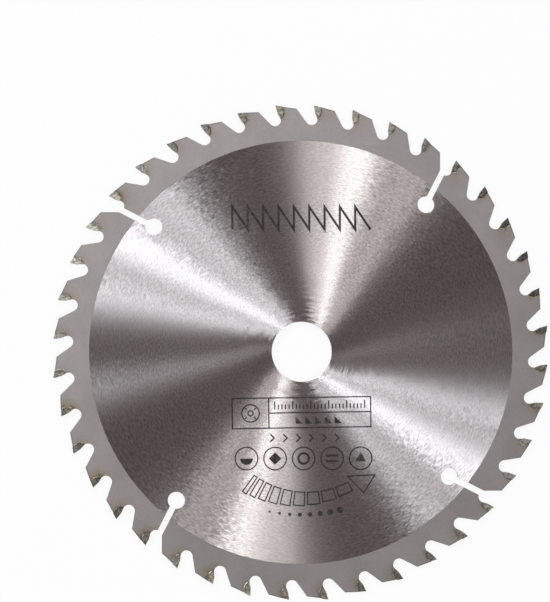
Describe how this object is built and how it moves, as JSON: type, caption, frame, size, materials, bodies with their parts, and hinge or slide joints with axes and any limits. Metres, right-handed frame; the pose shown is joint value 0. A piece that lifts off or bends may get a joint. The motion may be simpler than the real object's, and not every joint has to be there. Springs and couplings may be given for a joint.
{
  "type": "circular saw blade",
  "caption": "Flat round steel saw blade with carbide tips brazed into its teeth, keyholed expansion slots and a central arbor bore.",
  "frame": {"origin": "centre of the arbor bore, in the middle plane of the plate", "axes": "+Z along the bore, out of the marked side; +Y towards the top of the marked side as it is read; the blade turns counter-clockwise about +Z"},
  "size_m": [0.1648, 0.1648, 0.0024],
  "materials": {
    "plate_steel": "ground in rings inside a matt blasted rim",
    "carbide": "ground sintered carbide, fine and dark",
    "braze": "braze alloy as it flowed, slightly tarnished"
  },
  "bodies": {
    "root": {"blade_plate": "plate_steel", "carbide_tip_01": "carbide", "carbide_tip_02": "carbide", "carbide_tip_03": "carbide", "carbide_tip_04": "carbide", "carbide_tip_05": "carbide", "carbide_tip_06": "carbide", "carbide_tip_07": "carbide", "carbide_tip_08": "carbide", "carbide_tip_09": "carbide", "carbide_tip_10": "carbide", "carbide_tip_11": "carbide", "carbide_tip_12": "carbide", "carbide_tip_13": "carbide", "carbide_tip_14": "carbide", "carbide_tip_15": "carbide", "carbide_tip_16": "carbide", "carbide_tip_17": "carbide", "carbide_tip_18": "carbide", "carbide_tip_19": "carbide", "carbide_tip_20": "carbide", "carbide_tip_21": "carbide", "carbide_tip_22": "carbide", "carbide_tip_23": "carbide", "carbide_tip_24": "carbide", "carbide_tip_25": "carbide", "carbide_tip_26": "carbide", "carbide_tip_27": "carbide", "carbide_tip_28": "carbide", "carbide_tip_29": "carbide", "carbide_tip_30": "carbide", "carbide_tip_31": "carbide", "carbide_tip_32": "carbide", "carbide_tip_33": "carbide", "carbide_tip_34": "carbide", "carbide_tip_35": "carbide", "carbide_tip_36": "carbide", "carbide_tip_37": "carbide", "carbide_tip_38": "carbide", "carbide_tip_39": "carbide", "carbide_tip_40": "carbide", "braze_seams": "braze"}
  },
  "joints": []
}
